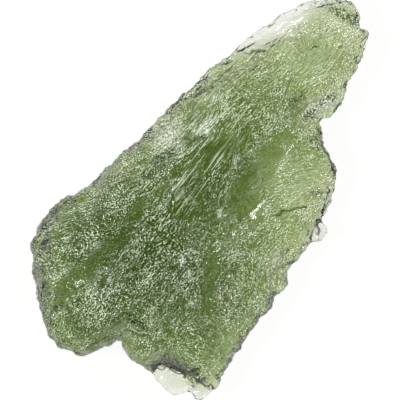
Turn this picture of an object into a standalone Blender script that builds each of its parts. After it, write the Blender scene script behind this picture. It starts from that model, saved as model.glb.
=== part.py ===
"""A natural moldavite: a flat, etched piece of green glass with thin broken edges.

The stone lies on its belly, which has a small flat spot. X runs along its length with the narrow
tongue at +X, Z is up, and the origin is the middle of its footprint. Lengths are in millimetres
until the mesh is written, where MM turns them into metres.
"""

import bpy
import bmesh
import numpy as np
from mathutils import Vector, noise

MM = 0.001
LENGTH = 36.0
WIDTH = 19.2
HEIGHT = 7.0
EDGE_LEVEL = 2.35  # height of the broken edge's middle above the flat spot
END_LIFT = 0.35  # the edge is higher at the stone's ends
SIDE_DROOP = 0.25  # and lower along its sides
EDGE_WAVE = 0.22
SLAB_HALF = 0.5  # half thickness of the slab that the relief is drawn on
GRID = 0.24  # spacing of the slab's vertices
MOST_TRIANGLES = 9400
FLAT_SNAP = 0.03  # what is this close to the flat spot's plane is in it
TOP_SEED = 11.0
BELLY_SEED = 47.0

# The outline seen from above, counter-clockwise from the tip of the tongue
TONGUE_TOP = [
    (17.95, -0.15), (17.75, 0.55), (17.45, 0.95), (17.05, 1.45), (16.5, 1.9), (16.35, 2.25),
    (16.05, 2.6), (15.65, 2.8), (15.3, 3.05), (14.75, 3.25), (14.3, 3.55), (13.9, 3.8),
    (13.3, 3.95), (12.6, 4.1), (12.0, 4.4), (11.55, 4.7), (11.1, 4.65), (10.4, 4.9), (9.4, 5.1),
]
UPPER_EDGE = [
    (8.8, 5.2), (8.1, 5.4), (7.65, 5.65), (7.0, 5.85), (6.2, 5.9), (5.2, 6.0), (4.6, 6.05),
    (4.25, 6.4), (3.4, 6.45), (2.6, 6.65), (1.85, 6.7), (1.45, 6.85), (1.15, 6.7), (0.5, 6.9),
    (-0.05, 7.1), (-0.4, 6.95), (-0.85, 6.95), (-1.3, 7.2), (-2.0, 7.4), (-2.8, 7.6),
    (-3.6, 7.6), (-3.85, 7.8), (-4.5, 7.95), (-5.2, 8.0), (-5.9, 8.0), (-6.45, 8.15),
    (-6.75, 8.5), (-7.4, 8.55), (-7.65, 8.95), (-8.1, 9.2), (-8.9, 9.4), (-9.45, 9.5),
    (-10.0, 9.35), (-10.8, 9.55), (-11.3, 9.4), (-11.55, 9.15), (-11.95, 9.2), (-12.3, 9.3),
    (-12.75, 9.0), (-13.1, 8.5), (-13.5, 8.05),
]
BLUNT_END = [
    (-13.95, 7.95), (-14.35, 7.6), (-14.65, 7.05), (-15.0, 6.7), (-15.45, 6.4), (-15.9, 6.0),
    (-16.1, 5.6), (-16.5, 5.15), (-16.9, 4.6), (-17.25, 4.1), (-17.55, 3.75), (-17.65, 3.3),
    (-17.6, 2.85), (-17.9, 2.6), (-17.85, 2.25), (-17.5, 2.0), (-17.45, 1.5), (-17.5, 0.95),
    (-17.25, 0.6), (-16.9, 0.3), (-16.3, 0.0), (-15.8, -0.25), (-15.5, -0.35), (-15.5, -0.7),
    (-15.0, -0.75), (-14.5, -0.95),
]
NOTCH_AND_LOBE_END = [
    (-14.05, -1.1), (-14.5, -1.25), (-14.85, -1.6), (-15.05, -2.1), (-15.25, -2.8),
    (-15.15, -3.4), (-15.1, -4.6), (-15.35, -5.1), (-15.5, -5.7), (-15.6, -6.5),
    (-15.55, -7.0), (-15.3, -7.4), (-14.9, -7.65), (-14.4, -7.95), (-14.65, -8.2),
    (-14.8, -8.6), (-14.7, -9.0), (-14.4, -9.2), (-13.9, -9.25), (-12.95, -9.5),
]
LOWER_EDGE = [
    (-12.4, -9.35), (-11.7, -9.25), (-10.8, -9.15), (-10.2, -9.15), (-9.5, -9.2),
    (-8.9, -9.05), (-8.0, -9.0), (-6.5, -9.05), (-5.85, -9.3), (-5.2, -9.2), (-4.6, -9.0),
    (-4.0, -9.1), (-3.3, -9.3), (-3.0, -9.25), (-2.9, -8.9), (-2.5, -8.7), (-2.0, -8.5),
    (-1.5, -8.65), (-0.9, -8.7), (-0.4, -8.6), (0.1, -8.85), (0.6, -8.65), (0.85, -8.75),
    (0.95, -9.1), (1.35, -9.4), (1.9, -9.35), (2.4, -9.1), (2.4, -8.75), (2.15, -8.4),
    (2.6, -8.25), (3.1, -8.35), (4.1, -8.15), (5.0, -7.8), (5.6, -7.5),
]
RIGHT_LOBE_END = [
    (6.1, -7.3), (6.45, -7.0), (6.75, -6.5), (7.05, -6.0), (7.25, -5.4), (7.55, -5.0),
    (7.75, -4.6), (8.1, -4.45), (8.45, -4.15), (8.35, -3.85), (8.6, -3.7), (9.05, -3.65),
]
TONGUE_UNDER = [
    (9.25, -3.95), (9.65, -4.2), (10.1, -4.15), (10.6, -4.25), (11.2, -4.25), (11.7, -4.0),
    (12.4, -3.75), (13.2, -3.6), (13.9, -3.6), (14.7, -3.5), (15.4, -3.25), (16.0, -3.0),
    (16.6, -2.85), (17.0, -2.6), (16.75, -2.3), (16.55, -1.95), (17.0, -1.55), (17.4, -1.4),
    (17.5, -1.1), (17.75, -0.6),
]
OUTLINE = (
    TONGUE_TOP + UPPER_EDGE + BLUNT_END + NOTCH_AND_LOBE_END + LOWER_EDGE + RIGHT_LOBE_END
    + TONGUE_UNDER
)

# Swellings above and below the edge's level: middle x, y, half length, half width, turn in
# degrees, height
TOP_SWELLS = {
    "hump": (-9.0, 0.6, 11.5, 8.6, 4.0, 4.1),
    "ridge": (1.5, 1.0, 11.5, 4.6, -3.0, 3.1),
    "upper shoulder": (-9.5, 6.6, 8.0, 4.6, 10.0, 2.2),
    "lower lobe": (-8.5, -6.0, 9.0, 4.6, 0.0, 2.1),
    "right lobe": (2.5, -5.0, 7.0, 4.4, 12.0, 1.5),
    "lobe's end": (6.4, -4.6, 2.6, 3.4, -28.0, 1.3),
    "tongue": (12.5, -0.4, 7.0, 3.8, -4.0, 1.2),
    "tongue's tip": (16.9, -0.6, 1.6, 2.0, 40.0, 0.8),
}
BELLY_SWELLS = {
    "belly": (-4.2, -0.1, 13.5, 7.8, 3.0, 2.12),
    "blunt keel": (-13.5, 2.6, 5.5, 4.6, 30.0, 1.9),
    "lower keel": (-9.0, -5.6, 8.0, 3.6, 0.0, 1.5),
    "upper keel": (-8.0, 6.0, 8.5, 3.4, 8.0, 1.4),
    "tongue's belly": (9.5, 0.2, 8.5, 3.4, -5.0, 1.3),
    "right belly": (2.5, -4.6, 6.0, 3.6, 10.0, 1.2),
}

SWELL_SHAPE = 0.75  # below 1 a swelling is flatter on top and steeper at its sides

# Conchoidal scars, bites out of a ball: middle x, y, half length, half width, turn, the height
# of the scar's floor above or below the edge's level, and how steeply its walls rise
TOP_SCARS = {
    "great scar": (3.4, 5.3, 4.7, 2.9, -10.0, 0.7, 2.2),
    "scar's shoulder": (0.6, 5.7, 1.7, 1.5, 30.0, 0.75, 1.6),
    "scoop at the lower edge": (-2.0, -7.5, 1.5, 1.1, -8.0, 0.15, 1.6),
    "neck bite": (9.3, -3.5, 2.2, 1.6, -15.0, 0.3, 0.9),
    "blunt end's bite": (-16.9, 2.2, 2.0, 2.4, 0.0, 2.5, 0.8),
    "shoulder hollow": (-13.2, 5.4, 2.3, 1.5, 40.0, 1.9, 0.8),
    "lobe hollow": (2.4, -4.6, 3.0, 1.6, -25.0, 1.05, 0.7),
    "hollow beyond the ridge": (10.9, 0.8, 2.4, 2.0, 10.0, 1.25, 0.5),
}
BELLY_SCARS = {
    "broad hollow": (5.2, 2.2, 3.6, 2.0, -12.0, 1.0, 0.8),
    "blunt end's hollow": (-13.4, -2.8, 2.6, 2.6, 15.0, 0.95, 0.8),
    "hollow under the shoulder": (-6.2, 6.2, 3.6, 1.5, 6.0, 0.75, 0.8),
    "hollow under the lobe": (1.2, -6.4, 2.8, 1.3, 8.0, 0.5, 0.8),
    "hollow under the tongue": (13.2, 0.6, 2.4, 1.4, -8.0, 0.7, 0.6),
}

SCAR_RIM = 2.0  # how much more steeply a scar's wall rises outside its oval

# Grooves and creases as lines, each with its half width and depth
TOP_GROOVES = {
    "groove by the upper edge": ([(3.8, 5.5), (6.2, 5.05), (8.2, 4.5), (10.0, 3.8)], 0.55, 0.5),
    "long pit by the neck": ([(9.8, 4.4), (10.3, 3.8), (10.8, 3.2)], 0.45, 0.55),
    "crease of the notch": ([(-14.0, -1.0), (-13.2, -2.5), (-12.9, -3.5), (-12.6, -4.2)], 0.6, 0.8),
    "crease of the lobe": ([(0.8, -5.3), (1.7, -6.1), (2.7, -6.8)], 0.4, 0.35),
    "upper valley": (
        [(-15.0, 4.5), (-9.5, 4.3), (-4.5, 3.7), (-1.5, 3.2), (1.5, 1.8), (4.0, 1.0)], 0.95, 0.4),
    "lower valley": (
        [(-9.5, -5.2), (-8.0, -4.5), (-5.0, -3.0), (-1.0, -3.6), (0.0, -2.5), (6.0, -2.3)], 1.0, 0.5),
    "step under the scar": ([(-2.2, 5.4), (-1.0, 5.2), (0.2, 4.6)], 0.45, 0.45),
    "tongue's upper groove": ([(11.6, 1.4), (14.0, 0.9), (16.4, 0.2)], 0.5, 0.22),
    "tongue's lower groove": ([(10.8, -1.5), (13.5, -1.9), (15.8, -2.2)], 0.5, 0.25),
    "middle furrow": ([(-12.5, -0.6), (-8.0, -1.2), (-3.0, -0.9), (2.0, -0.6), (7.0, -0.4)], 0.7, 0.3),
    "upper furrow": ([(-11.8, 2.2), (-7.0, 2.0), (-2.0, 1.5), (2.5, 0.4)], 0.6, 0.25),
}
BELLY_GROOVES = {
    "long furrow": ([(-16.0, 1.0), (-9.0, 3.4), (-2.0, 3.5), (5.0, 3.9)], 0.8, 0.5),
    "slanting furrow": ([(-11.5, -7.6), (-7.0, -5.2), (-1.0, -4.3), (5.5, -3.2)], 0.8, 0.5),
    "neck furrow": ([(8.4, 3.8), (9.2, 1.0), (9.0, -2.2)], 0.8, 0.45),
    "tongue's furrow": ([(10.5, -0.8), (13.0, -1.4), (16.2, -1.2)], 0.5, 0.25),
}

# Thin flakes at the edge: the area they cover, and the glass left above and below their level
FLAKES = {
    "pale wedge": (
        [(9.9, 4.75), (10.9, 3.4), (11.5, 2.9), (13.0, 2.5), (14.2, 1.9), (15.2, 1.9),
         (15.6, 1.5), (16.5, 1.15), (18.5, 1.5), (17.0, 4.5), (12.0, 6.5), (10.0, 6.0)], 0.22, 0.25),
    "clear flake at the notch": (
        [(-14.75, -4.5), (-14.1, -5.3), (-13.7, -6.5), (-13.5, -7.1), (-13.9, -7.9),
         (-16.5, -8.2), (-17.0, -4.6)], 0.25, 0.2),
    "clear corner flake": ([(-13.75, -8.0), (-13.65, -10.0), (-16.0, -10.0), (-16.0, -8.2)], 0.3, 0.2),
    "lip of the right lobe": (
        [(2.6, -7.75), (4.0, -7.5), (5.3, -7.25), (6.6, -7.5), (5.0, -9.5), (2.4, -9.3)], 0.3, 0.25),
    "bead": ([(0.7, -8.4), (2.5, -8.3), (3.2, -9.4), (1.6, -10.5), (0.2, -9.4)], 0.45, 0.3),
    "chip on the upper edge": ([(-4.2, 7.45), (-5.9, 7.55), (-6.2, 9.0), (-3.6, 9.0)], 0.3, 0.3),
    "chip on the shoulder": ([(-13.7, 7.4), (-15.3, 6.1), (-17.0, 7.5), (-14.0, 9.5)], 0.35, 0.35),
}
FLAKE_STEP = 0.35  # width of the step down to a flake

# How fast the glass swells behind its edge, and the thickness of the edge itself: a usual one,
# and places with a steeper wall or a thinner edge, as middle x, y, reach, value
USUAL_SWELL = 3.4
SWELL_PLACES = {
    "blunt end": (-17.0, 1.6, 3.2, 1.3),
    "right lobe's end": (7.6, -5.2, 2.4, 1.0),
    "lobe end": (-15.0, -2.8, 2.0, 1.6),
    "tip": (17.4, -0.8, 1.6, 0.9),
    "tongue": (13.0, 0.0, 4.5, 2.2),
    "upper edge": (-2.5, 7.4, 3.0, 2.6),
}
USUAL_EDGE = 0.75
EDGE_PLACES = {
    "blunt end": (-17.2, 1.8, 3.0, 2.4),
    "right lobe's end": (7.6, -5.2, 2.6, 1.8),
    "lobe end": (-15.2, -2.8, 2.0, 1.5),
    "tip": (17.4, -0.8, 1.5, 1.1),
    "lower edge": (-1.5, -8.8, 3.0, 0.6),
    "neck": (10.3, -4.2, 1.6, 0.5),
}
LEAST_EDGE = 0.6  # the share of the edge's thickness that no bite goes below
PLACE_WEIGHT = 8.0  # how much a place's own value counts at its middle, against the usual one

# How far drawn ovals and lines stray, and over what length
WANDER = 1.1
WANDER_SCALE = 2.6

# The etched relief: ridges drawn out along the glass's flow, and round pits between them
RIDGE_LENGTH = 2.6
RIDGE_SPACING = 1.9
RIDGE_HEIGHT = 0.24
PIT_SPACING = 1.7
PIT_REACH = 0.62  # radius of a pit, as a share of the spacing
PIT_DEPTH = 0.3
RELIEF_FADE = 2.0  # over this distance from the edge the relief grows to its full height
NOTCH_SPACING = 1.25
NOTCH_DEPTH = 0.3
NOTCH_REACH = 2.4
FLOW_TURNS = {  # middle x, y, reach, direction of flow in degrees
    "ridge": (0.0, 1.0, 6.0, -2.0),
    "hump": (-10.0, 0.0, 4.5, 4.0),
    "upper shoulder": (-9.5, 8.0, 4.5, 118.0),
    "upper edge": (-3.0, 7.5, 3.0, 140.0),
    "blunt end": (-17.0, 3.0, 3.0, 168.0),
    "lower lobe": (-9.0, -7.5, 4.0, 75.0),
    "right lobe": (4.5, -5.5, 3.5, -38.0),
    "tongue": (13.5, 0.0, 4.0, -9.0),
}

GLASS_COLOUR = (0.16, 0.27, 0.06, 1.0)
GLASS_ROUGHNESS = 0.25
GLASS_IOR = 1.49


def clear_scene():
    for item in list(bpy.data.objects):
        bpy.data.objects.remove(item, do_unlink=True)


def new_collection(name):
    made = bpy.data.collections.new(name)
    bpy.context.scene.collection.children.link(made)
    return made


def ease(value, low, high):
    """0 below low, 1 above high and a smooth step between them."""
    share = np.clip((value - low) / (high - low), 0.0, 1.0)
    return share * share * (3.0 - 2.0 * share)


def line_distance(x, y, points):
    """How far each place is from a line through the points."""
    nearest = np.full(x.shape, np.inf)
    for (x0, y0), (x1, y1) in zip(points, points[1:]):
        run, rise = x1 - x0, y1 - y0
        share = ((x - x0) * run + (y - y0) * rise) / (run * run + rise * rise)
        share = np.clip(share, 0.0, 1.0)
        nearest = np.minimum(nearest, np.hypot(x - x0 - share * run, y - y0 - share * rise))
    return nearest


def depth_inside(x, y, points):
    """How far each place is inside a closed outline, below zero outside it."""
    closed = points + points[:1]
    inside = np.zeros(x.shape, dtype=bool)
    for (x0, y0), (x1, y1) in zip(closed, closed[1:]):
        if y0 == y1:
            continue
        crossing = ((y0 > y) != (y1 > y)) & (x < x0 + (y - y0) * (x1 - x0) / (y1 - y0))
        inside ^= crossing
    return np.where(inside, 1.0, -1.0) * line_distance(x, y, closed)


def wander(x, y, side):
    """The places moved a little at random, which makes drawn ovals and lines uneven."""
    east, north = [
        np.array([noise.noise(Vector((a, b, side + turn)) / WANDER_SCALE) for a, b in zip(x, y)])
        for turn in (0.0, 31.0)
    ]
    return x + WANDER * east, y + WANDER * north


def oval(x, y, middle_x, middle_y, half_length, half_width, turn):
    """Distance from an oval's middle, as a share of its radius there."""
    angle = np.radians(turn)
    along = (x - middle_x) * np.cos(angle) + (y - middle_y) * np.sin(angle)
    across = (y - middle_y) * np.cos(angle) - (x - middle_x) * np.sin(angle)
    return np.hypot(along / half_length, across / half_width)


def blend_places(x, y, places, usual):
    """A value that is usual away from the places and their own near them."""
    total = np.ones(x.shape)
    value = np.full(x.shape, float(usual))
    for middle_x, middle_y, reach, own in places.values():
        fall = 3.0 * ((x - middle_x) ** 2 + (y - middle_y) ** 2) / reach**2
        weight = PLACE_WEIGHT * np.exp(-fall)
        total += weight
        value += weight * own
    return value / total


def swelling(x, y, swells):
    """Height of overlapping swellings, which run smoothly into each other."""
    total = np.zeros(x.shape)
    for *shape, height in swells.values():
        rise = height * np.clip(1.0 - oval(x, y, *shape) ** 2, 0.0, None) ** SWELL_SHAPE
        total += rise**3
    return np.cbrt(total)


def cut_scars(x, y, height, scars):
    """The height after each scar has bitten a bowl with a sharp edge out of it."""
    for *shape, floor, wall in scars.values():
        share = oval(x, y, *shape)
        bowl = floor + wall * share**2 + SCAR_RIM * np.clip(share - 1.0, 0.0, None)
        height = np.minimum(height, bowl)
    return height


def groove_depth(x, y, grooves):
    """Depth of the deepest groove at each place."""
    depth = np.zeros(x.shape)
    for points, half_width, deepest in grooves.values():
        share = line_distance(x, y, points) / half_width
        depth = np.maximum(depth, deepest * (1.0 - ease(share, 0.0, 1.0)))
    return depth


def flow_direction(x, y):
    """Direction of the glass's flow, as angles in radians. A line has no front or back, so
    doubled angles are blended."""
    east = np.full(x.shape, 0.05)
    north = np.zeros(x.shape)
    for middle_x, middle_y, reach, turn in FLOW_TURNS.values():
        weight = np.exp(-2.0 * ((x - middle_x) ** 2 + (y - middle_y) ** 2) / reach**2)
        east += weight * np.cos(np.radians(2.0 * turn))
        north += weight * np.sin(np.radians(2.0 * turn))
    return 0.5 * np.arctan2(north, east)


def flow_ridges(x, y, side):
    """Round furrows with sharp ridges between them, drawn out along the flow by reading the noise
    at steps along it."""
    angle = flow_direction(x, y)
    steps = np.linspace(-0.5, 0.5, 5) * RIDGE_LENGTH
    total = np.zeros(x.shape)
    for step in steps:
        place_x = (x + step * np.cos(angle)) / RIDGE_SPACING
        place_y = (y + step * np.sin(angle)) / RIDGE_SPACING
        total += [noise.noise(Vector((a, b, side))) for a, b in zip(place_x, place_y)]
    return RIDGE_HEIGHT * (1.0 - 4.0 * np.abs(total / len(steps)))


def pits(x, y, side):
    """Round etch pits, whose rims meet as low ridges."""
    nearest = np.array([
        noise.voronoi(Vector((a, b, side)) / PIT_SPACING)[0][0] for a, b in zip(x, y)
    ])
    return -PIT_DEPTH * (1.0 - ease(nearest, 0.0, PIT_REACH))


def edge_notches(x, y, inside, side):
    """Small bites that make the broken edge uneven, above and below."""
    bite = np.array([noise.noise(Vector((a, b, side)) / NOTCH_SPACING) for a, b in zip(x, y)])
    return NOTCH_DEPTH * bite * (1.0 - ease(inside, 0.0, NOTCH_REACH))


def surface_height(x, y, inside, swells, scars, grooves, side):
    """Glass above (or below) the edge's level, for one side of the stone."""
    swell = blend_places(x, y, SWELL_PLACES, USUAL_SWELL)
    edge = blend_places(x, y, EDGE_PLACES, USUAL_EDGE)
    share = np.clip(inside / swell, 0.0, 1.0)
    dome = np.sqrt(1.0 - (1.0 - share) ** 2)
    height = edge / 2 + dome * swelling(x, y, swells)
    stray_x, stray_y = wander(x, y, side)
    height = cut_scars(stray_x, stray_y, height, scars)
    height -= groove_depth(stray_x, stray_y, grooves) * ease(inside, 0.0, 1.0)
    relief = flow_ridges(x, y, side) + pits(x, y, side)
    height += relief * ease(inside, 0.0, RELIEF_FADE) + edge_notches(x, y, inside, side)
    return np.maximum(height, LEAST_EDGE * edge / 2)


def thin_flakes(x, y, above, below):
    """The two heights after the edge's flakes are thinned down."""
    for area, left_above, left_below in FLAKES.values():
        share = ease(depth_inside(x, y, area), -0.5 * FLAKE_STEP, 0.5 * FLAKE_STEP)
        above += share * (np.minimum(above, left_above) - above)
        below += share * (np.minimum(below, left_below) - below)
    return above, below


def edge_level(x, y):
    """Height of the edge's middle: the stone is a little bowed."""
    lift = END_LIFT * ease(np.abs(x), LENGTH / 6, LENGTH / 2)
    droop = SIDE_DROOP * ease(np.abs(y), WIDTH / 5, WIDTH / 2)
    wave = EDGE_WAVE * np.sin(0.55 * x + 0.4) * np.cos(0.5 * y)
    return EDGE_LEVEL + lift - droop + wave


def outline_slab():
    """A flat slab of the stone's outline, with an even net of faces."""
    curve = bpy.data.curves.new("outline", "CURVE")
    curve.dimensions = "2D"
    curve.fill_mode = "BOTH"
    curve.extrude = SLAB_HALF
    line = curve.splines.new("POLY")
    line.points.add(len(OUTLINE) - 1)
    for point, (x, y) in zip(line.points, OUTLINE):
        point.co = (x, y, 0.0, 1.0)
    line.use_cyclic_u = True
    drawn = bpy.data.objects.new("outline", curve)
    bpy.context.scene.collection.objects.link(drawn)
    return as_mesh(drawn, "slab")


def as_mesh(item, name):
    """The item as it is shown, as a mesh with its loose caps joined. The item is removed."""
    graph = bpy.context.evaluated_depsgraph_get()
    mesh = bpy.data.meshes.new_from_object(item.evaluated_get(graph))
    mesh.name = name
    made = bpy.data.objects.new(name, mesh)
    bpy.context.scene.collection.objects.link(made)
    made.matrix_world = item.matrix_world
    bpy.data.objects.remove(item, do_unlink=True)
    work = bmesh.new()
    work.from_mesh(mesh)
    bmesh.ops.remove_doubles(work, verts=work.verts, dist=0.0001)
    work.to_mesh(mesh)
    work.free()
    return made


def even_faces(slab):
    """The slab with faces of one size."""
    remesh = slab.modifiers.new("even faces", "REMESH")
    remesh.mode = "VOXEL"
    remesh.voxel_size = GRID
    return as_mesh(slab, "stone")


def read_places(mesh):
    places = np.empty(len(mesh.vertices) * 3)
    mesh.vertices.foreach_get("co", places)
    return places.reshape(-1, 3)


def write_places(mesh, places):
    mesh.vertices.foreach_set("co", places.ravel())
    mesh.update()


def raise_relief(stone):
    """Moves the slab's two faces out to the stone's upper and lower surfaces."""
    places = read_places(stone.data)
    x, y, z = places.T
    inside = np.clip(depth_inside(x, y, OUTLINE), 0.0, None)
    above = surface_height(x, y, inside, TOP_SWELLS, TOP_SCARS, TOP_GROOVES, TOP_SEED)
    below = surface_height(x, y, inside, BELLY_SWELLS, BELLY_SCARS, BELLY_GROOVES, BELLY_SEED)
    above, below = thin_flakes(x, y, above, below)
    level = edge_level(x, y)
    share = np.clip(z / SLAB_HALF, -1.0, 1.0)
    raised = level + np.where(share > 0.0, share * above, share * below)
    places[:, 2] = np.maximum(raised, 0.0)
    write_places(stone.data, places)


def thin_out(stone):
    """Fewer, larger faces where the surface is plain."""
    fewer = stone.modifiers.new("fewer faces", "DECIMATE")
    stone.data.calc_loop_triangles()
    fewer.ratio = MOST_TRIANGLES / len(stone.data.loop_triangles)
    fewer.use_collapse_triangulate = True
    return as_mesh(stone, "moldavite")


def fit_to_size(stone):
    """Scales the stone to its measured size, stands it on its flat spot and moves its origin to
    the middle of its footprint."""
    places = read_places(stone.data)
    low, high = places.min(axis=0), places.max(axis=0)
    size = np.array([LENGTH, WIDTH, HEIGHT])
    middle = (low + high) / 2
    middle[2] = low[2]
    places = (places - middle) * size / (high - low)
    places[places[:, 2] < FLAT_SNAP, 2] = 0.0
    write_places(stone.data, places * MM)


def glass_material():
    glass = bpy.data.materials.new("moldavite_glass")
    glass.use_nodes = True
    shader = glass.node_tree.nodes["Principled BSDF"]
    shader.inputs["Base Color"].default_value = GLASS_COLOUR
    shader.inputs["Roughness"].default_value = GLASS_ROUGHNESS
    shader.inputs["Metallic"].default_value = 0.0
    shader.inputs["IOR"].default_value = GLASS_IOR
    shader.inputs["Transmission Weight"].default_value = 0.8
    glass.diffuse_color = GLASS_COLOUR
    return glass


def build():
    clear_scene()
    collection = new_collection("moldavite")
    stone = even_faces(outline_slab())
    raise_relief(stone)
    stone = thin_out(stone)
    fit_to_size(stone)
    stone.data.materials.append(glass_material())
    for holder in list(stone.users_collection):
        holder.objects.unlink(stone)
    collection.objects.link(stone)


build()
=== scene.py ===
"""The look of a natural moldavite: its etched glass surface, its see-through green, and a pale table
with soft light, seen from above as in the photograph.

The stone's form comes from the frame. Lengths here are in millimetres until MM turns them into
metres, in the frame's own directions: X along the stone towards its narrow tongue, Z up. Directions
on the stone are in degrees from X, seen from above.
"""

import itertools
import math

import bmesh
import bpy
import numpy as np
from mathutils import Matrix, Vector
from mathutils.kdtree import KDTree


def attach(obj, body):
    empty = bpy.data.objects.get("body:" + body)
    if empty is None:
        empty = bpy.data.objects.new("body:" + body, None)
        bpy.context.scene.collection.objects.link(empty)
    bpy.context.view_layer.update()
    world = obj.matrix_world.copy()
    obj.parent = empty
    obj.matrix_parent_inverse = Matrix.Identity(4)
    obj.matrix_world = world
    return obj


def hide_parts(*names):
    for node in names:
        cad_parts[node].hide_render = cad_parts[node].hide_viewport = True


MM = 0.001
NODE = "moldavite"

# The net of the fine surface
NET = 0.108  # spacing of its vertices
WELD = 0.0001  # vertices of the solid that are closer than this become one
SMOOTHING = 7  # rounds that take the solid's flat facets out
SMOOTHING_SHARE = 0.5
MOST_TRIANGLES = 194000

# Fixed random values: what scrambles a cell's place and a pattern's seed into one
SCRAMBLE = (73856093, 19349663, 83492791, 2654435761)
SCRAMBLE_SHIFTS = (13, 16)
SCRAMBLE_AGAIN = 1274126177
RANDOM_BITS = 0xFFFFFF
SCATTER = 0.42  # how far a scattered point strays from its cell's middle, in cells

# Soft noise in layers: amount, scale, seed
LAYERS = {
    "flow": [(0.55, 1.1, 83)],  # how far the flow strays to either side, in radians
    "rough patches": [(1.0, 1.9, 29), (0.6, 0.8, 31)],
    "stroke patches": [(0.8, 1.2, 43)],
    "vein patches": [(1.0, 1.5, 37)],
    "loose chalk": [(1.0, 0.7, 71), (0.5, 0.3, 73)],
    "rings": [(0.1, 0.9, 97)],
}

# Noise drawn out along the flow: width, length, seed
STREAKS = {
    "furrows": (0.26, 1.7, 3),
    "veins": (0.5, 3.0, 5),
    "stroke patches": (0.35, 0.9, 41),
}
STREAK_STEP = 1.2  # widths from one sample along a streak to the next
STREAK_GAIN = 1.2
STREAKS_IN_PATCHES = 0.8

# Scattered points: spacing, seed
SCATTERED = {
    "pits": (0.4, 17),
    "chips": (0.6, 23),
}

# How far the outline of a large and of a small mark strays, over what length, and the seed
WANDER = (0.5, 1.3, 51)
CLOSE_WANDER = (0.22, 0.45, 61)

# Soft steps from 0 to 1: the values between which each rises
STEPS = {
    "upper face": (0.0, 0.4),  # by the part of the surface's direction that is upright
    "flat faces": (0.3, 0.75),
    "inner steps": (0.5, 2.2),  # by the distance from the outline
    "past the square edge": (0.9, 2.1),
    "past the edge": (0.25, 0.8),
    "blunt stretches": (-0.7, 0.7),  # by noise
    "valleys": (0.3, 1.3),  # by the distance from a valley's middle, in reaches
    "lined": (0.4, 1.1),  # by the distance from an oval's middle, in half lengths and widths
    "drawn out": (0.5, 1.3),
    "shade_flecked": (0.3, 1.2),
    "frosted": (0.2, 1.2),
    "rough patches": (-0.6, 0.7),  # by noise
    "vein patches": (-0.3, 0.5),
    "loose chalk": (0.75, 1.15),
    "veins": (0.0, 0.3),
    "pits": (0.0, 0.55),  # by the distance from a scattered point, in spacings
    "chips": (0.25, 0.75),
    "rings": (-0.6, 0.6),  # by a wave
    "past the rings": (1.4, 2.2),  # by the distance from the rings' middle
}

# The glass's flow: middle x, y, reach, direction
FLOW_TURNS = {
    "ridge": (0.0, 1.0, 6.0, -2.0),
    "hump": (-10.0, 0.0, 4.5, 4.0),
    "upper shoulder": (-9.5, 8.0, 4.5, 118.0),
    "upper edge": (-3.0, 7.5, 3.0, 140.0),
    "blunt end": (-17.0, 3.0, 3.0, 168.0),
    "lower lobe": (-9.0, -7.5, 4.0, 75.0),
    "right lobe": (4.5, -5.5, 3.5, -38.0),
    "tongue": (13.5, 0.0, 4.0, -9.0),
}
FLOW_PULL = 0.05  # the slight pull along X that is left where no turn reaches
FLOW_LEAST = 0.2  # where less of the flow than this lies along the surface, it stays shorter than 1

# How rough the surface is, from 0 to 1
ROUGH_ANYWHERE = 0.6
ROUGH_IN_PATCHES = 0.7
CALM_IN_VALLEYS = 0.6
ROUGH_LEAST = 0.28
CALM_WHERE_CLEAN = 0.7

# The fine relief in the mesh
FURROW_DEPTH = 0.075
FURROW_LEVEL = 0.5  # the streaks' value that leaves the surface where it is
PIT_DEPTH = 0.07
CHIP_DEPTH = 0.16
CHIP_LEVEL = 0.6
VEIN_DEPTH = 0.04  # veins are long furrows, darkened with painted shade
VEIN_SHADE = 0.35
VEINS_CLEANED = 0.6  # share of the painted shade that clean glass loses

# Valleys where the glass is smooth: reach, then points along each
VALLEYS = {
    "above the ridge": (
        0.7,
        [(-15.0, 4.5), (-9.5, 4.1), (-4.5, 3.7), (-1.5, 3.2), (1.5, 1.8), (4.0, 1.0)],
    ),
    "below the hump": (0.9, [(-8.0, -4.5), (-5.0, -3.0), (-1.0, -4.0)]),
    "beside the lobe": (1.5, [(-1.0, -4.0), (0.0, -2.5), (3.0, -2.2), (6.0, -2.3)]),
}

# Creases and steps: width, depth, painted shade, points
CREASES = {
    "scar's step": (0.11, 0.10, 0.5, [(-2.0, 5.3), (-0.9, 5.3), (0.0, 4.7), (1.2, 4.2), (2.2, 2.9)]),
    "scar's far step": (0.10, 0.07, 0.3, [(2.2, 2.9), (5.0, 2.4), (7.0, 3.0), (7.3, 4.5)]),
    "groove beyond the scar": (0.11, 0.12, 0.5, [(3.8, 5.5), (6.0, 5.1), (8.2, 4.5)]),
    "tongue's dark pit": (0.12, 0.15, 0.7, [(9.8, 4.4), (10.3, 3.9), (10.8, 3.2)]),
    "small pit": (0.09, 0.15, 0.9, [(13.0, 0.2), (13.3, 0.0), (13.5, -0.3)]),
    "neck's arc": (0.10, 0.12, 0.4, [(8.0, -1.8), (9.5, -2.1), (10.3, -2.5), (10.8, -3.0)]),
    "lobe's steep wall": (0.20, 0.1, 0.7, [(8.3, -4.0), (7.6, -5.0), (7.0, -6.1), (6.3, -7.2)]),
    "lobe's crease": (0.12, 0.14, 0.75, [(0.8, -5.3), (1.8, -6.0), (2.7, -6.8)]),
    "end flake's crack": (
        0.11, 0.12, 0.9,
        [(-14.7, -4.5), (-14.1, -5.3), (-13.7, -6.5), (-13.5, -7.0), (-12.8, -7.5)],
    ),
    "end flake's lower crack": (0.10, 0.1, 0.7, [(-13.5, -7.1), (-13.7, -8.2), (-13.6, -9.3)]),
    "notch's crease": (0.10, 0.14, 0.5, [(-13.6, -1.0), (-13.2, -2.5), (-12.9, -3.5), (-12.6, -4.2)]),
}

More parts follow.
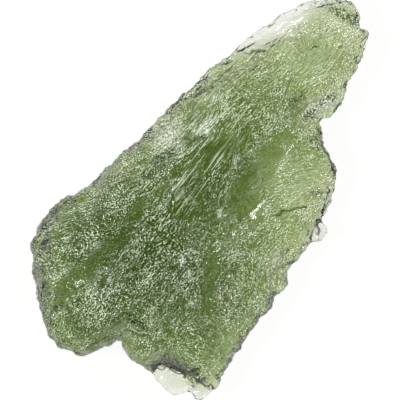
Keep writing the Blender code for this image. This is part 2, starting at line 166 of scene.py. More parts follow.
# The solid's steps are softened in the fine surface, on a grid seen from above
CELL = 0.15
GRID_HALF = (140, 80)  # half the grid's cells along X and Y
GAP_ROUNDS = 2  # rounds of blurring that close the gaps between vertices
COVERED = 0.1  # a cell with more vertices than this, once blurred, is part of the stone
NEXT_TO_NOTHING = 1e-6
SOFTENED = 0.8  # share of a step's height that is taken out
SOFT_ROUNDS = 150  # rounds of blurring, which spread a step over about 2.5 mm
EDGE_ROUNDS = 22  # rounds for the steps near the outline
UPRIGHT = 0.2  # the surface's direction is upright by less than this on the outline

# The stone's edge
SQUARENESS = 0.42  # the lower, the squarer the edge
LEAST_SHARE = 0.03  # a place nearer to the middle height counts as this share of the half thickness
LEAST_HALF = 0.2  # least half thickness that the edge is squared to
EDGE_REACH = 0.7  # the stone thins towards its outline from here
EDGE_DROP = 0.4  # most that each face comes down at the outline
EDGE_MOST = 0.75  # and the most of its height that this may take
EDGE_SCALLOP = 0.9  # length of a thin or a blunt stretch of the outline
SMALL_SCALLOPS = (0.5, 2.3)  # their strength, and how many go into a large one
SCALLOP_SEEDS = (91, 93)

# Places that are thinner or thicker than the softened solid: middle x, y, half length, half width,
# direction, softness of the outline, share of the thickness, how clear and free of etching
THICKNESS = {
    "upper shoulder": (-8.5, 6.6, 5.5, 2.4, 0.0, 0.6, 1.2, 0.0),
    "scar": (3.2, 4.4, 4.6, 2.0, -6.0, 0.6, 1.3, 0.0),
    "blunt end": (-17.6, 2.6, 2.4, 5.0, 0.0, 0.7, 0.8, 0.0),
    "pale wedge": (14.1, 3.8, 4.4, 1.7, -13.0, 0.5, 0.14, 1.0),
    "end flake": (-14.9, -6.3, 1.6, 2.3, -20.0, 0.45, 0.35, 1.0),
    "lower end flake": (-14.2, -8.8, 1.2, 0.9, 0.0, 0.25, 0.45, 1.0),
    "bead": (1.6, -9.0, 0.9, 0.9, 0.0, 0.25, 0.5, 1.0),
    "tongue": (13.8, -0.2, 4.2, 2.6, -9.0, 0.5, 0.68, 0.1),
    "tip": (16.8, 0.2, 1.6, 2.4, 0.0, 0.5, 0.62, 0.3),
    "neck": (10.3, -2.9, 2.0, 1.2, -25.0, 0.4, 0.9, 0.2),
    "right lobe": (4.2, -5.4, 3.4, 2.6, -38.0, 0.5, 0.62, 0.15),
}

# The tables below hold ovals: middle x, y, half length, half width, direction, strength

# Places where the surface is drawn out into long strokes
DRAWN_OUT = {
    "ridge": (0.5, 1.4, 9.5, 2.0, 0.0, 1.0),
    "scar": (4.5, 3.9, 4.5, 1.3, -8.0, 1.0),
    "tongue's side": (13.5, -1.2, 4.5, 1.2, -9.0, 1.0),
    "right lobe": (4.6, -5.6, 3.4, 2.0, -38.0, 1.0),
    "upper shoulder": (-9.0, 8.2, 4.0, 1.6, 0.0, 1.0),
}
DRAWN_ANYWHERE = 0.15

# Places with long fine lines along the stone, drawn pale and in painted shade; the pale ones are
# frosted and also painted highlights
LINED = {
    "ridge": (0.5, 1.6, 8.5, 1.5, 0.0, 1.0),
    "ridge's foot": (-7.5, 2.4, 4.0, 1.0, 3.0, 1.0),
    "beyond the scar": (6.5, 4.6, 3.5, 0.9, -4.0, 1.0),
    "tongue's side": (14.0, -1.7, 3.4, 1.0, -9.0, 1.0),
}

# Places with black-green flecks of painted shade
SHADE_FLECKED = {
    "below the scar": (-0.9, 4.7, 1.5, 0.55, -20.0, 0.9),
    "scar's left": (-2.6, 4.9, 0.8, 0.8, 0.0, 0.5),
    "hump's edge": (-11.4, 2.6, 1.8, 0.3, 5.0, 0.5),
    "blunt end": (-15.3, 2.4, 1.2, 1.6, 0.0, 0.5),
    "blunt end's foot": (-16.2, -0.3, 0.8, 1.2, 20.0, 0.6),
    "notch": (-12.6, -1.3, 0.45, 1.5, 0.0, 0.95),
    "neck": (9.2, -1.2, 1.6, 0.7, -15.0, 0.6),
    "neck's root": (8.7, -2.8, 1.0, 0.6, -25.0, 0.9),
    "neck's flake": (10.4, -3.1, 1.5, 0.6, -25.0, 0.7),
    "lobe's wall": (7.6, -4.6, 1.4, 0.45, -55.0, 0.7),
    "lobe's foot": (4.2, -6.9, 0.9, 0.4, -40.0, 0.7),
    "tip": (16.9, -0.8, 0.7, 2.6, 14.0, 0.8),
    "upper corner": (17.0, 2.2, 1.0, 0.8, 0.0, 0.7),
}

# Frosted and chalky places
FROSTED = {
    "scar's corner": (0.6, 5.3, 2.0, 1.6, 30.0, 1.0),
    "scar's flank": (3.2, 3.3, 1.5, 0.6, -15.0, 0.75),
    "scar's far flank": (5.7, 4.1, 0.9, 0.4, 10.0, 0.6),
    "hump's chip": (-6.5, -1.4, 0.7, 0.25, 15.0, 0.9),
    "hump's small chip": (-5.4, -1.6, 0.35, 0.2, -30.0, 0.7),
    "hump's far chip": (-7.3, -2.4, 0.5, 0.3, 60.0, 0.5),
    "middle chip": (-1.8, -1.6, 0.6, 0.3, 40.0, 0.8),
    "ridge chip": (2.4, -0.15, 0.5, 0.35, 0.0, 0.7),
    "lower chip": (-8.9, -4.0, 0.5, 0.3, 0.0, 0.5),
    "upper chip": (-11.9, 1.7, 0.5, 0.3, 0.0, 0.5),
    "shoulder chip": (-13.4, 6.1, 0.5, 0.35, 90.0, 0.5),
    "scooped pit": (-2.0, -7.3, 1.0, 0.5, 20.0, 0.6),
    "pale wedge": (14.1, 3.3, 3.6, 1.0, -13.0, 0.12),
    "end flake": (-14.8, -6.3, 1.2, 1.8, -20.0, 0.12),
    "lower end flake": (-14.4, -8.7, 0.7, 0.7, 0.0, 0.15),
    "neck flake": (9.8, -3.0, 2.0, 0.9, -25.0, 0.9),
    "bead": (1.6, -9.0, 0.8, 0.8, 0.0, 0.3),
}
LOOSE_CHALK = 0.55  # strength of the chalk that is scattered over the rough places

RINGS = (0.3, 5.3, 0.3)  # the scar's fine rings: middle x, y, spacing
RING_STRENGTH = 0.6

# The glass
GLASS_IOR = 1.49
ABSORPTION = 700.0  # per metre, for a colour of black
ABSORPTION_COLOUR = (0.42, 0.55, 0.0, 1.0)
COAT = 0.35  # strength of the second, glinting surface
COAT_ROUGHNESS = 0.07
BUMP = 0.02  # the etching's depth in the glass
GLINT_BUMP = 0.1  # and in the coat

# The etching's pattern in the glass, which also places painted highlights and painted shade
STROKES = (0.085, 0.29, 4)  # width, length, samples along each
CURLS = (0.09, 1.0)  # size, detail
BLOTS = (0.16, 1.0)
LINES = (1.0, 1.0)
LINE_SCALE = (0.3, 10.0, 0.4)  # lines to each millimetre along, across and down
SHADE_STEP = (0.02, 0.12, 0.0)  # from a pale stroke's painted shadow to the stroke
PATCHINESS = 0.025  # how strongly the strokes gather in patches
# The pale strokes are frosted, and also painted highlights in place of glints
MILK_IN_STROKES = 0.6
# Painted shade in the low strokes and beside each pale stroke
PAINTED_SHADE_IN_STROKES = 0.7

# How values turn into others, softly: from low, from high, to low, to high
SPREADS = {
    "drawn": (0.0, 1.0, 0.4, 0.68),
    # Pale strokes and lines are frosted glass that also stands in for glints as a painted highlight;
    # several entries below place painted shade
    "frost and highlight strokes": (0.535, 0.58, 0.0, 1.0),  # by the etching's height, which is about 0.5
    # Several of these place painted shade: in strokes and lines, in flecks and creases, and on the
    # rim
    "shaded strokes": (0.485, 0.435, 0.0, 0.8),
    "chalk": (0.46, 0.55, 0.15, 0.95),
    "crushed rim": (0.49, 0.56, 0.1, 0.33),
    "broken crease shade": (0.56, 0.46, 0.55, 1.0),
    "rim flecks": (0.53, 0.48, 0.02, 0.45),
    "speckle": (0.44, 0.57, 0.0, 1.0),
    "pale lines": (0.6, 0.68, 0.0, 0.7),  # by the lines' noise
    "shaded lines": (0.42, 0.34, 0.0, 0.7),
    "blots": (0.54, 0.46, 0.0, 1.0),
    "pale among flecks": (0.0, 1.0, 1.0, 0.6),
    "pale in creases": (0.0, 0.6, 1.0, 0.1),
    "pale on the rim": (0.0, 1.0, 1.0, 0.5),
    "shade_flecks": (0.0, 0.7, 0.0, 1.0),
    "crease_shade": (0.05, 0.55, 0.0, 1.0),
    "roughness": (0.0, 0.6, 0.12, 0.35),  # by how milky the glass is
    "room": (0.15, 0.5, 0.9, 0.05),  # brightness by height, 0 level with the stone and 1 overhead
}

# The glass's colours
TINT = (0.86, 0.91, 0.74, 1.0)
CLEAN_TINT = (1.0, 1.0, 0.97, 1.0)
# Frost's milky colour; in the pale strokes it is also a painted highlight
MILK_AND_HIGHLIGHT = (0.72, 0.83, 0.56, 1.0)
CHALK = (0.84, 0.88, 0.8, 1.0)
# The colour of painted shade, in strokes, flecks, creases and on the rim
PAINTED_SHADE_COLOUR = (0.03, 0.06, 0.01, 1.0)
# The steep rim's speckle runs from painted shade to painted light
RIM_PAINTED_SHADE = (0.34, 0.44, 0.22, 1.0)
RIM_PAINTED_LIGHT = (0.76, 0.86, 0.58, 1.0)

# The table glows, so that it is evenly pale
TABLE_SIZE = 2000.0
TABLE_DROP = 0.02  # how far it is below the stone
TABLE_COLOUR = (0.08, 0.08, 0.079, 1.0)
TABLE_ROUGHNESS = 0.9
TABLE_GLOW = (1.0, 1.0, 0.985, 1.0)
TABLE_GLOW_STRENGTH = 0.92

# The light
ROOM_COLOUR = (0.98, 1.0, 0.98, 1.0)
LAMP_DISTANCE = 500.0
SOFT_LAMP_SIZE = 160.0
SOFT_LAMPS = {  # direction, power in watts
    "key_lamp": ((-0.5, 0.6, 0.9), 2.3),
    "fill_lamp": ((0.8, -0.3, 0.9), 1.3),
}
GLINT_LAMPS = 6  # a ring of small lamps that glint on the etched surface
GLINT_TURN = 0.3  # how far round the first one is, in steps of the ring
GLINT_RISE = 1.0  # how high they are for a ring of radius 1
GLINT_SIZE = 60.0
GLINT_POWER = 0.25
BOUNCES = 20
GLOSSY_BOUNCES = 12

# The camera: the photograph is square, and this is the frame's width at the table's height
PHOTO_WIDTH = 32.1
PHOTO_MIDDLE = (-1.85, 0.30)
PHOTO_TURN = -54.0  # the photograph's right is this far from the stone's X, in degrees
CAMERA_HEIGHT = 400.0
SENSOR = 36.0
CLIPPING = (10.0, 10000.0)


def ease(value, low, high):
    """0 up to low, 1 from high on, and a soft step between them."""
    share = np.clip((value - low) / (high - low), 0.0, 1.0)
    return share * share * (3.0 - 2.0 * share)


def soft_step(value, name):
    return ease(value, *STEPS[name])


def random_values(cells, seed):
    """A fixed random number from -1 to 1 for each whole-numbered cell."""
    x, y, z = cells.astype(np.int64).T
    for_x, for_y, for_z, for_seed = SCRAMBLE
    first, second = SCRAMBLE_SHIFTS
    mixed = (x * for_x) ^ (y * for_y) ^ (z * for_z) ^ (seed * for_seed)
    mixed = (mixed ^ (mixed >> first)) * SCRAMBLE_AGAIN
    mixed = (mixed ^ (mixed >> second)) & RANDOM_BITS
    return mixed / (RANDOM_BITS // 2) - 1.0


def soft_noise(places, seed):
    """Smooth random values from -1 to 1 over space, with cells of size 1."""
    cells = np.floor(places)
    part = ease(places - cells, 0.0, 1.0)
    total = np.zeros(len(places))
    for corner in itertools.product((0, 1), repeat=3):
        weight = np.prod(np.where(corner, part, 1.0 - part), axis=1)
        total += weight * random_values(cells + corner, seed)
    return total


def layers(places, name):
    return sum(amount * soft_noise(places / scale, seed) for amount, scale, seed in LAYERS[name])


def cell_distance(places, spacing, seed):
    """Distance to the nearest of scattered points, one in each cell, in spacings."""
    places = places / spacing
    cells = np.floor(places)
    nearest = np.full(len(places), np.inf)
    for step in itertools.product((-1, 0, 1), repeat=3):
        cell = cells + step
        jitter = np.stack([random_values(cell, seed + turn) for turn in range(3)], axis=1)
        gap = cell + 0.5 + SCATTER * jitter - places
        nearest = np.minimum(nearest, np.sqrt((gap * gap).sum(axis=1)))
    return nearest


def wander(places, amount, scale, seed):
    """The places seen from above, pushed about by soft noise, so that edges drawn on them waver."""
    push = [soft_noise(places / scale, seed + turn) for turn in range(2)]
    return places[:, :2] + amount * np.stack(push, axis=1)


def line_distance(spots, points):
    """Distance, seen from above, to a line through points."""
    nearest = np.full(len(spots), np.inf)
    for start, end in zip(points[:-1], points[1:]):
        run = np.subtract(end, start)
        share = np.clip((spots - start) @ run / (run @ run), 0.0, 1.0)
        gap = spots - start - share[:, None] * run
        nearest = np.minimum(nearest, np.sqrt((gap * gap).sum(axis=1)))
    return nearest


def within(spots, form, low, high):
    """1 in an oval and 0 outside it, with a soft edge from low to high times its size."""
    x, y, length, width, turn = form
    angle = math.radians(turn)
    along = (spots[:, 0] - x) * math.cos(angle) + (spots[:, 1] - y) * math.sin(angle)
    across = (spots[:, 1] - y) * math.cos(angle) - (spots[:, 0] - x) * math.sin(angle)
    return 1.0 - ease(np.hypot(along / length, across / width), low, high)


def marks(spots, ovals, name):
    """The strength of the strongest oval at each spot, and 0 where there is none."""
    most = np.zeros(len(spots))
    for *form, strength in ovals.values():
        most = np.maximum(most, strength * within(spots, form, *STEPS[name]))
    return most


def flow_along(places, normals):
    """The flow's direction at each place, along the surface."""
    x, y = places[:, 0], places[:, 1]
    east = np.full(len(x), FLOW_PULL)
    north = np.zeros(len(x))
    # Angles are doubled while they are added up, because a flow and its opposite are the same
    for middle_x, middle_y, reach, turn in FLOW_TURNS.values():
        weight = np.exp(-2.0 * ((x - middle_x) ** 2 + (y - middle_y) ** 2) / reach**2)
        east += weight * math.cos(math.radians(2.0 * turn))
        north += weight * math.sin(math.radians(2.0 * turn))
    angle = 0.5 * np.arctan2(north, east) + layers(places, "flow")
    along = np.stack([np.cos(angle), np.sin(angle), np.zeros(len(x))], axis=1)
    along -= normals * (along * normals).sum(axis=1)[:, None]
    return along / np.maximum(np.linalg.norm(along, axis=1), FLOW_LEAST)[:, None]


def streaks(places, along, name):
    """Noise drawn out along the flow, from about -1 to 1."""
    width, length, seed = STREAKS[name]
    taps = 2 * int(length / width / STREAK_STEP) + 1
    total = np.zeros(len(places))
    for step in np.linspace(-0.5, 0.5, taps) * length:
        total += soft_noise((places + step * along) / width, seed)
    return total / math.sqrt(taps) * STREAK_GAIN


def apply_modifiers(stone):
    graph = bpy.context.evaluated_depsgraph_get()
    stone.data = bpy.data.meshes.new_from_object(stone.evaluated_get(graph))
    stone.modifiers.clear()


def fine_net(solid):
    """The solid's form as an even, smooth net."""
    mesh = solid.data.copy()
    mesh.materials.clear()
    stone = bpy.data.objects.new("moldavite_glass_stone", mesh)
    bpy.context.scene.collection.objects.link(stone)
    work = bmesh.new()
    work.from_mesh(mesh)
    bmesh.ops.remove_doubles(work, verts=work.verts, dist=WELD * MM)
    work.to_mesh(mesh)
    work.free()
    remesh = stone.modifiers.new("even net", "REMESH")
    remesh.mode = "VOXEL"
    remesh.voxel_size = NET * MM
    smooth = stone.modifiers.new("smooth", "SMOOTH")
    smooth.factor = SMOOTHING_SHARE
    smooth.iterations = SMOOTHING
    apply_modifiers(stone)
    return stone


def thin_out(stone):
    """Takes out the triangles that matter least to the form."""
    fewer = stone.modifiers.new("fewer triangles", "DECIMATE")
    fewer.ratio = MOST_TRIANGLES / sum(len(face.vertices) - 2 for face in stone.data.polygons)
    apply_modifiers(stone)


def read(mesh, name):
    values = np.empty(len(mesh.vertices) * 3)
    mesh.vertices.foreach_get(name, values)
    return values.reshape(-1, 3)


def write_places(mesh, places):
    mesh.vertices.foreach_set("co", (places * MM).ravel())
    mesh.update()


def keep(mesh, name, values):
    """Stores a number or a direction for each vertex, for the material to read."""
    kind, field = ("FLOAT", "value") if values.ndim == 1 else ("FLOAT_VECTOR", "vector")
    stored = mesh.attributes.new(name, kind, "POINT")
    stored.data.foreach_set(field, values.astype(np.float32).ravel())


def blurred(grid, rounds):
    """Mixes each cell with a quarter of each neighbour, along X and then along Y, in every round."""
    for _ in range(rounds):
        for axis in (0, 1):
            grid = 0.5 * grid + 0.25 * (np.roll(grid, 1, axis) + np.roll(grid, -1, axis))
    return grid


def sample(grid, spots):
    """The grid's value at each spot, between the four nearest cells."""
    place = spots / CELL + GRID_HALF
    cell = np.floor(place).astype(int)
    across, up = (place - cell).T
    x, y = cell.T
    near = grid[x, y] * (1.0 - across) + grid[x + 1, y] * across
    far = grid[x, y + 1] * (1.0 - across) + grid[x + 1, y + 1] * across
    return near * (1.0 - up) + far * up


def face_level(places, rounds):
    """The blurred height of one of the stone's faces, on the grid."""
    shape = (2 * GRID_HALF[0], 2 * GRID_HALF[1])
    x, y = np.rint(places[:, :2] / CELL + GRID_HALF).astype(int).T
    total, count = np.zeros(shape), np.zeros(shape)
    np.add.at(total, (x, y), places[:, 2])
    np.add.at(count, (x, y), 1.0)
    count = blurred(count, GAP_ROUNDS)
    level = blurred(total, GAP_ROUNDS) / np.maximum(count, NEXT_TO_NOTHING)
    there = (count > COVERED).astype(float)
    return blurred(level * there, rounds) / np.maximum(blurred(there, rounds), NEXT_TO_NOTHING)


def soften(places, face, rounds, share):
    """Brings one face closer to its own blurred form, by a share for each place."""
    level = face_level(places[face], rounds)
    places[face, 2] += share[face] * (sample(level, places[face, :2]) - places[face, 2])
    return level


def outline_distance(places, normals):
    """How far each place is from the stone's outline, seen from above."""
    upright = np.flatnonzero(np.abs(normals[:, 2]) < UPRIGHT)
    tree = KDTree(len(upright))
    for index in upright:
        tree.insert((places[index, 0], places[index, 1], 0.0), int(index))
    tree.balance()
    return np.array([tree.find((x, y, 0.0))[2] for x, y in places[:, :2]])


def square_edge(places, levels, middle, gap):
    """Moves both faces apart near the outline, so that the edge is squarer."""
    fullest = np.maximum(sample(0.5 * (levels[0] - levels[1]), places[:, :2]), LEAST_HALF)
    half = places[:, 2] - middle
    full = fullest * np.clip(np.abs(half) / fullest, LEAST_SHARE, 1.0) ** SQUARENESS
    near = 1.0 - soft_step(gap, "past the square edge")
    places[:, 2] += near * np.sign(half) * np.maximum(full - np.abs(half), 0.0)


def scallop_edge(places, middle, gap):
    """Thins stretches of the edge and leaves blunt ones between them."""
    seen = places * (1.0, 1.0, 0.0) / EDGE_SCALLOP
    strength, fineness = SMALL_SCALLOPS
    large_seed, small_seed = SCALLOP_SEEDS
    wave = soft_noise(seen, large_seed) + strength * soft_noise(fineness * seen, small_seed)
    blunt = soft_step(wave, "blunt stretches")
    drop = EDGE_DROP * (1.0 - blunt) * np.clip(1.0 - gap / EDGE_REACH, 0.0, 1.0)
    half = places[:, 2] - middle
    places[:, 2] -= np.sign(half) * np.minimum(drop, EDGE_MOST * np.abs(half))


def reshape(places, normals):
    """Softens the steps on both faces, shapes the edge, and sets the named places' thickness."""
    gap = outline_distance(places, normals)
    faces = (normals[:, 2] > 0.0, normals[:, 2] <= 0.0)
    share = SOFTENED * soft_step(gap, "inner steps")
    levels = [soften(places, face, SOFT_ROUNDS, share) for face in faces]
    middle = sample(0.5 * (levels[0] + levels[1]), places[:, :2])
    square_edge(places, levels, middle, gap)
    for *form, soft, kept, _ in THICKNESS.values():
        weight = within(places[:, :2], form, 1.0 - soft, 1.0 + soft)
        places[:, 2] += weight * (1.0 - kept) * (middle - places[:, 2])
    for face in faces:
        soften(places, face, EDGE_ROUNDS, soft_step(gap, "past the edge"))
    scallop_edge(places, middle, gap)


def smoothness(spots):
    """1 in the middle of the smooth valleys and 0 away from them."""
    low, high = STEPS["valleys"]
    calm = np.zeros(len(spots))
    for reach, points in VALLEYS.values():
        calm = np.maximum(calm, 1.0 - ease(line_distance(spots, points), low * reach, high * reach))
    return calm


def clearness(spots):
    """How clear and free of etching the glass is."""
    clean = np.zeros(len(spots))
    for *form, soft, _, clear in THICKNESS.values():
        clean = np.maximum(clean, clear * within(spots, form, 1.0 - soft, 1.0 + soft))
    return clean


def roughness(places, calm, clean):
    patchy = soft_step(layers(places, "rough patches"), "rough patches")
    rough = ROUGH_ANYWHERE + ROUGH_IN_PATCHES * patchy - CALM_IN_VALLEYS * calm
    return np.clip(rough, ROUGH_LEAST, 1.0) * (1.0 - CALM_WHERE_CLEAN * clean)


def relief(places, along, rough, rim):
    """The height of the furrows, pits and edge chips."""
    furrows = np.abs(streaks(places, along, "furrows"))
    pits = 1.0 - soft_step(cell_distance(places, *SCATTERED["pits"]), "pits")
    chips = soft_step(cell_distance(places, *SCATTERED["chips"]), "chips")
    height = rough * (FURROW_DEPTH * (FURROW_LEVEL - furrows) - PIT_DEPTH * pits)
    return height + rim * CHIP_DEPTH * (chips - CHIP_LEVEL)


def long_veins(places, along, calm):
    veins = 1.0 - soft_step(np.abs(streaks(places, along, "veins")), "veins")
    return veins * (soft_step(layers(places, "vein patches"), "vein patches") * (1.0 - calm))


def frosting(places, close_spots, rough, top):
    """How chalky the surface is, with fine rings in the scar."""
    frost = marks(close_spots, FROSTED, "frosted")
    middle_x, middle_y, spacing = RINGS
    ring = np.hypot(places[:, 0] - middle_x, places[:, 1] - middle_y) + layers(places, "rings")
    bands = soft_step(np.sin(math.tau * ring / spacing), "rings")
    frost *= 1.0 - RING_STRENGTH * bands * (1.0 - soft_step(ring, "past the rings"))
    loose = soft_step(layers(places, "loose chalk"), "loose chalk")
    return np.maximum(frost, LOOSE_CHALK * loose * rough * top)


def etch(stone):
    """Shapes the surface, cuts the fine relief into it and stores what the material needs."""
    mesh = stone.data
    places = read(mesh, "co") / MM
    reshape(places, read(mesh, "normal"))
    write_places(mesh, places)
    normals = read(mesh, "normal")
    along = flow_along(places, normals)
    spots = wander(places, *WANDER)
    close_spots = wander(places, *CLOSE_WANDER)
    top = soft_step(normals[:, 2], "upper face")
    rim = 1.0 - soft_step(np.abs(normals[:, 2]), "flat faces")
    calm = smoothness(spots) * top
    clean = clearness(spots)
    rough = roughness(places, calm, clean)
    veins = long_veins(places, along, calm)

    height = relief(places, along, rough, rim)
    # The creases are cut into the surface and darkened with painted shade
    painted_crease_shade = np.zeros(len(places))
    for width, depth, painted_shade, points in CREASES.values():
        crease = top * np.exp(-((line_distance(close_spots, points) / width) ** 2))
        height -= depth * crease
        painted_crease_shade = np.maximum(painted_crease_shade, painted_shade * crease)
    height -= VEIN_DEPTH * veins

    # Flecks and veins get painted shade
    shade_flecked = marks(close_spots, SHADE_FLECKED, "shade_flecked") * top
    gathered = STREAKS_IN_PATCHES * streaks(places, along, "stroke patches")
    stored = {
        "along": along,
        "drawn": np.maximum(marks(spots, DRAWN_OUT, "drawn out"), DRAWN_ANYWHERE),
        "lined": marks(spots, LINED, "lined"),
        "patch": gathered + layers(places, "stroke patches"),
        "clean": clean,
        "rough": rough,
        "frost": frosting(places, close_spots, rough, top),
        # painted shade in flecks and along the veins
        "dark": np.maximum(shade_flecked, VEIN_SHADE * veins * (1.0 - VEINS_CLEANED * clean)),
        # painted shade in the creases
        "crease": painted_crease_shade,
        "rim": rim,
    }
    places += normals * height[:, None]
    places[:, 2] = np.maximum(places[:, 2], 0.0)
    write_places(mesh, places)
    for name, values in stored.items():
        keep(mesh, name, values)


def new_material(name):
    made = bpy.data.materials.new(name)
    made.use_nodes = True
    made.node_tree.nodes.clear()
    return made, made.node_tree


def add(tree, kind, inputs, **settings):
    """A node with its settings, whose inputs are set to values or linked to other nodes' outputs."""
    made = tree.nodes.new("ShaderNode" + kind)
    for name, value in settings.items():
        setattr(made, name, value)
    for name, value in inputs.items():
        if isinstance(value, bpy.types.NodeSocket):
            tree.links.new(value, made.inputs[name])
        else:
            made.inputs[name].default_value = value
    return made


def work_out(tree, operation, *values):
    inputs = dict(enumerate(values))
    return add(tree, "Math", inputs, operation=operation).outputs[0]


def times(tree, first, second):
    return work_out(tree, "MULTIPLY", first, second)


def highest(tree, first, *others):
    for other in others:
        first = work_out(tree, "MAXIMUM", first, other)
    return first


def scaled(tree, vector, by):
    return add(tree, "VectorMath", {0: vector, "Scale": by}, operation="SCALE").outputs[0]


def moved(tree, place, by):
    return add(tree, "VectorMath", {0: place, 1: by}, operation="ADD").outputs[0]


def spread(tree, value, name):
    """Turns a value into another, softly, and stops at both ends."""
    low, high, to_low, to_high = SPREADS[name]
    inputs = {"Value": value, "From Min": low, "From Max": high, "To Min": to_low, "To Max": to_high}
    return add(tree, "MapRange", inputs, interpolation_type="SMOOTHSTEP").outputs[0]


def mixed(tree, factor, start, end):
    """The colour start where factor is 0 and end where it is 1."""
    return add(tree, "Mix", {"Factor": factor, 6: start, 7: end}, data_type="RGBA").outputs[2]


def attribute(tree, name, output="Fac"):
    return add(tree, "Attribute", {}, attribute_name=name).outputs[output]


def noise(tree, place, size, detail=0.0):
    inputs = {"Vector": place, "Scale": 1.0 / size, "Detail": detail}
    return add(tree, "TexNoise", inputs).outputs[0]


def drawn_out(tree, place, along, width, length, taps):
    """Noise drawn out into strokes along the flow."""
    total = None
    for turn in range(taps):
        step = scaled(tree, along, (turn / (taps - 1) - 0.5) * length)
        value = noise(tree, moved(tree, place, step), width)
        total = value if total is None else work_out(tree, "ADD", total, value)
    return work_out(tree, "DIVIDE", total, float(taps))


def etching(tree, place, along, drawn):
    """The fine etching's height at a place, around 0.5: short strokes and curls."""
    strokes = drawn_out(tree, place, along, *STROKES)
    curls = noise(tree, place, *CURLS)
    return add(tree, "Mix", {"Factor": drawn, 2: curls, 3: strokes}, data_type="FLOAT").outputs[0]


def glass_strokes(tree, place, rough, dark, crease, rim):
    """The etching's height, how strong its pale strokes are, which are frosted and also painted
    highlights, and how strong its painted shade is.
    """
    along = attribute(tree, "along", "Vector")
    lined = attribute(tree, "lined")
    drawn = spread(tree, attribute(tree, "drawn"), "drawn")
    etched = etching(tree, place, along, drawn)
    # The etching a step away, whose pale strokes cast a painted shadow here
    beside = etching(tree, moved(tree, place, SHADE_STEP), along, drawn)
    shift = times(tree, attribute(tree, "patch"), PATCHINESS)
    crowded = work_out(tree, "ADD", etched, shift)
    beside = work_out(tree, "ADD", beside, shift)
    stretched = add(tree, "VectorMath", {0: place, 1: LINE_SCALE}, operation="MULTIPLY").outputs[0]
    lines = noise(tree, stretched, *LINES)

    # Pale strokes: frosted glass that also stands in for glints, a painted highlight
    pale = times(tree, spread(tree, crowded, "frost and highlight strokes"), rough)
    pale = highest(tree, pale, times(tree, lined, spread(tree, lines, "pale lines")))
    pale = times(tree, pale, spread(tree, dark, "pale among flecks"))
    pale = times(tree, pale, spread(tree, crease, "pale in creases"))
    pale = times(tree, pale, spread(tree, rim, "pale on the rim"))
    # Painted shade: in low strokes, beside each pale stroke, and along lines
    shaded = highest(
        tree,
        times(tree, spread(tree, etched, "shaded strokes"), rough),
        times(tree, spread(tree, beside, "frost and highlight strokes"), rough),
        times(tree, lined, spread(tree, lines, "shaded lines")),
    )
    shaded = times(tree, shaded, work_out(tree, "SUBTRACT", 1.0, pale))
    return etched, pale, shaded


def painted_glass_shade(tree, place, etched, shaded, dark, crease, rim):
    """The glass's painted shade: in strokes, flecks, creases and on the rim."""
    shade_flecks = times(tree, dark, spread(tree, noise(tree, place, *BLOTS), "blots"))
    crease_shade = times(tree, crease, spread(tree, etched, "broken crease shade"))
    return highest(
        tree,
        times(tree, shaded, PAINTED_SHADE_IN_STROKES),
        spread(tree, shade_flecks, "shade_flecks"),
        spread(tree, crease_shade, "crease_shade"),
        times(tree, rim, spread(tree, etched, "rim flecks")),
    )


def glass_material():
    glass, tree = new_material("moldavite_glass")
    place = scaled(tree, add(tree, "TexCoord", {}).outputs["Object"], 1.0 / MM)
    rough = attribute(tree, "rough")
    # Painted shade in flecks, veins and creases
    dark = attribute(tree, "dark")
    crease = attribute(tree, "crease")
    rim = attribute(tree, "rim")
    etched, pale, shaded = glass_strokes(tree, place, rough, dark, crease, rim)
    chalk = times(tree, attribute(tree, "frost"), spread(tree, etched, "chalk"))
    crushed = times(tree, rim, spread(tree, etched, "crushed rim"))
    milk_and_highlights = highest(tree, times(tree, pale, MILK_IN_STROKES), chalk, crushed)
    # Painted shade, which draws the colour towards its darkest
    painted_shade = painted_glass_shade(tree, place, etched, shaded, dark, crease, rim)

    light = mixed(tree, attribute(tree, "clean"), TINT, CLEAN_TINT)
    light = mixed(tree, milk_and_highlights, light, MILK_AND_HIGHLIGHT)
    light = mixed(tree, chalk, light, CHALK)
    # The steep rim gets a speckle of painted light and painted shade
    light = mixed(tree, rim, light, mixed(tree, spread(tree, etched, "speckle"), RIM_PAINTED_SHADE, RIM_PAINTED_LIGHT))
    height = times(tree, etched, rough)
    bump = add(tree, "Bump", {"Strength": 1.0, "Distance": BUMP * MM, "Height": height})
    glint = add(tree, "Bump", {"Strength": 1.0, "Distance": GLINT_BUMP * MM, "Height": height})
    shader = add(tree, "BsdfPrincipled", {
        "Base Color": mixed(tree, painted_shade, light, PAINTED_SHADE_COLOUR),
        "Roughness": spread(tree, milk_and_highlights, "roughness"),
        "Transmission Weight": work_out(tree, "SUBTRACT", 1.0, milk_and_highlights),
        "Normal": bump.outputs[0],
        "Coat Normal": glint.outputs[0],
        "Coat Weight": COAT,
        "Coat Roughness": COAT_ROUGHNESS,
        "Coat IOR": GLASS_IOR,
        "IOR": GLASS_IOR,
    })
    inside = add(tree, "VolumeAbsorption", {"Color": ABSORPTION_COLOUR, "Density": ABSORPTION})
    add(tree, "OutputMaterial", {"Surface": shader.outputs[0], "Volume": inside.outputs[0]})
    return glass


def make_stone(frame):
    stone = fine_net(frame["nodes"][NODE])
    etch(stone)
    thin_out(stone)
    stone.data.materials.append(glass_material())
    stone.data.shade_smooth()
    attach(stone, "root")
    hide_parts(NODE)


def make_table():
    bpy.ops.mesh.primitive_plane_add(size=TABLE_SIZE * MM, location=(0.0, 0.0, -TABLE_DROP * MM))
    table = bpy.context.object
    table.name = "table"
    pale, tree = new_material("pale_table")
    shader = add(tree, "BsdfPrincipled", {
        "Base Color": TABLE_COLOUR,
        "Roughness": TABLE_ROUGHNESS,
        "Specular IOR Level": 0.0,
        "Emission Color": TABLE_GLOW,
        "Emission Strength": TABLE_GLOW_STRENGTH,
    })
    add(tree, "OutputMaterial", {"Surface": shader.outputs[0]})
    table.data.materials.append(pale)


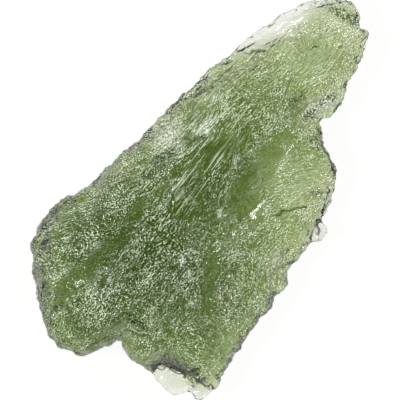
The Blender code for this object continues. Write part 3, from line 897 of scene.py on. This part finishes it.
def make_lamp(name, direction, size, power, mirrored):
    """A round lamp that lights the stone and, where mirrored, also shows in its gloss."""
    lamp = bpy.data.lights.new(name, "AREA")
    lamp.shape = "DISK"
    lamp.size = size * MM
    lamp.energy = power
    item = bpy.data.objects.new(name, lamp)
    item.visible_glossy = mirrored
    item.visible_transmission = mirrored
    bpy.context.scene.collection.objects.link(item)
    item.location = Vector(direction).normalized() * (LAMP_DISTANCE * MM)
    item.rotation_euler = (-item.location).to_track_quat("-Z", "Y").to_euler()


def make_room():
    """A room that is pale all round near the table and dim overhead."""
    room = bpy.data.worlds.new("soft_room")
    bpy.context.scene.world = room
    room.use_nodes = True
    tree = room.node_tree
    tree.nodes.clear()
    up = add(tree, "SeparateXYZ", {0: add(tree, "TexCoord", {}).outputs["Generated"]}).outputs["Z"]
    back = add(tree, "Background", {"Color": ROOM_COLOUR, "Strength": spread(tree, up, "room")})
    add(tree, "OutputWorld", {"Surface": back.outputs[0]})


def make_light():
    make_room()
    for name, (direction, power) in SOFT_LAMPS.items():
        make_lamp(name, direction, SOFT_LAMP_SIZE, power, False)
    for turn in range(GLINT_LAMPS):
        angle = math.tau * (turn + GLINT_TURN) / GLINT_LAMPS
        direction = (math.cos(angle), math.sin(angle), GLINT_RISE)
        make_lamp(f"glint_lamp_{turn}", direction, GLINT_SIZE, GLINT_POWER, True)
    scene = bpy.context.scene
    scene.view_settings.view_transform = "Standard"
    scene.cycles.max_bounces = BOUNCES
    scene.cycles.glossy_bounces = GLOSSY_BOUNCES
    scene.cycles.transmission_bounces = BOUNCES


def make_camera():
    data = bpy.data.cameras.new("camera")
    data.sensor_width = SENSOR
    data.lens = SENSOR * CAMERA_HEIGHT / PHOTO_WIDTH
    data.clip_start, data.clip_end = (distance * MM for distance in CLIPPING)
    camera = bpy.data.objects.new("camera", data)
    bpy.context.scene.collection.objects.link(camera)
    turn = Matrix.Rotation(math.radians(PHOTO_TURN), 4, "Z")
    place = Vector((*PHOTO_MIDDLE, CAMERA_HEIGHT)) * MM
    camera.matrix_world = Matrix.Translation(place) @ turn
    bpy.context.scene.camera = camera


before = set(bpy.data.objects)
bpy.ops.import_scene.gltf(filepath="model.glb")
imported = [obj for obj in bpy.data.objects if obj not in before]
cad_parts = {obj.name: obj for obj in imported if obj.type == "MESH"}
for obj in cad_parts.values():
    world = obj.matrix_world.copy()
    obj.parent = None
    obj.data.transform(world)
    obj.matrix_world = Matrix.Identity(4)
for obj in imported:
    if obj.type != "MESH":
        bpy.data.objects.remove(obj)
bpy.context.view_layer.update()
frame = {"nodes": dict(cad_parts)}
make_camera()
make_stone(frame)
make_table()
make_light()
